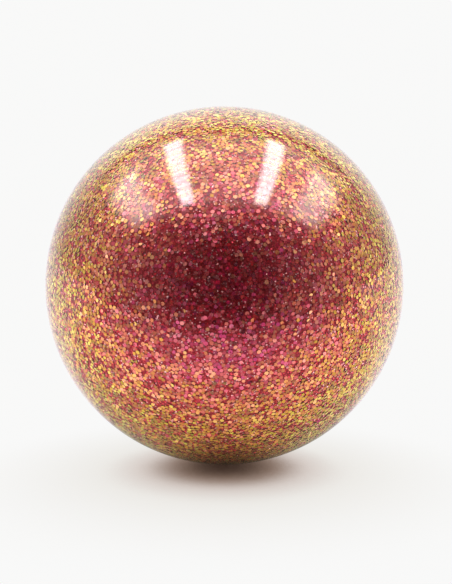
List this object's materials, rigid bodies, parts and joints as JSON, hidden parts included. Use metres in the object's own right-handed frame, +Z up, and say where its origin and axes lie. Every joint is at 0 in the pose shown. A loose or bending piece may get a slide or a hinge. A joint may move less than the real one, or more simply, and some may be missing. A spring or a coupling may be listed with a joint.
{
  "type": "rubber ball",
  "caption": "Hollow rubber play ball with a clear gloss skin over a coat of film glitter, and a needle valve closed by a push-in plug at the back.",
  "frame": {"origin": "centre of the small flat under the ball, where it rests on the floor", "axes": "+Z up, +Y out of the valve at the back, +X to the right as the picture sees the ball from -Y"},
  "size_m": [0.1, 0.0996, 0.0996],
  "materials": {
    "clear_vinyl": "clear soft vinyl, high gloss",
    "film_glitter": "iridescent film flakes in clear binder, crimson seen square on and gold at a slant",
    "red_rubber": "smooth moulded crimson rubber",
    "valve_rubber": "soft dark red rubber",
    "plug_plastic": "ivory polyethylene, satin"
  },
  "bodies": {
    "ball": {"clear_skin": "clear_vinyl", "glitter_coat": "film_glitter", "front_half_shell": "red_rubber", "rear_half_shell": "red_rubber", "valve_housing": "valve_rubber", "valve_core": "valve_rubber"},
    "plug": {"valve_plug": "plug_plastic"}
  },
  "joints": [
    {"name": "plug_pull", "type": "slide", "parent": "ball", "child": "plug", "axis": [0, 1, 0], "range_m": [0, 0.012]}
  ]
}
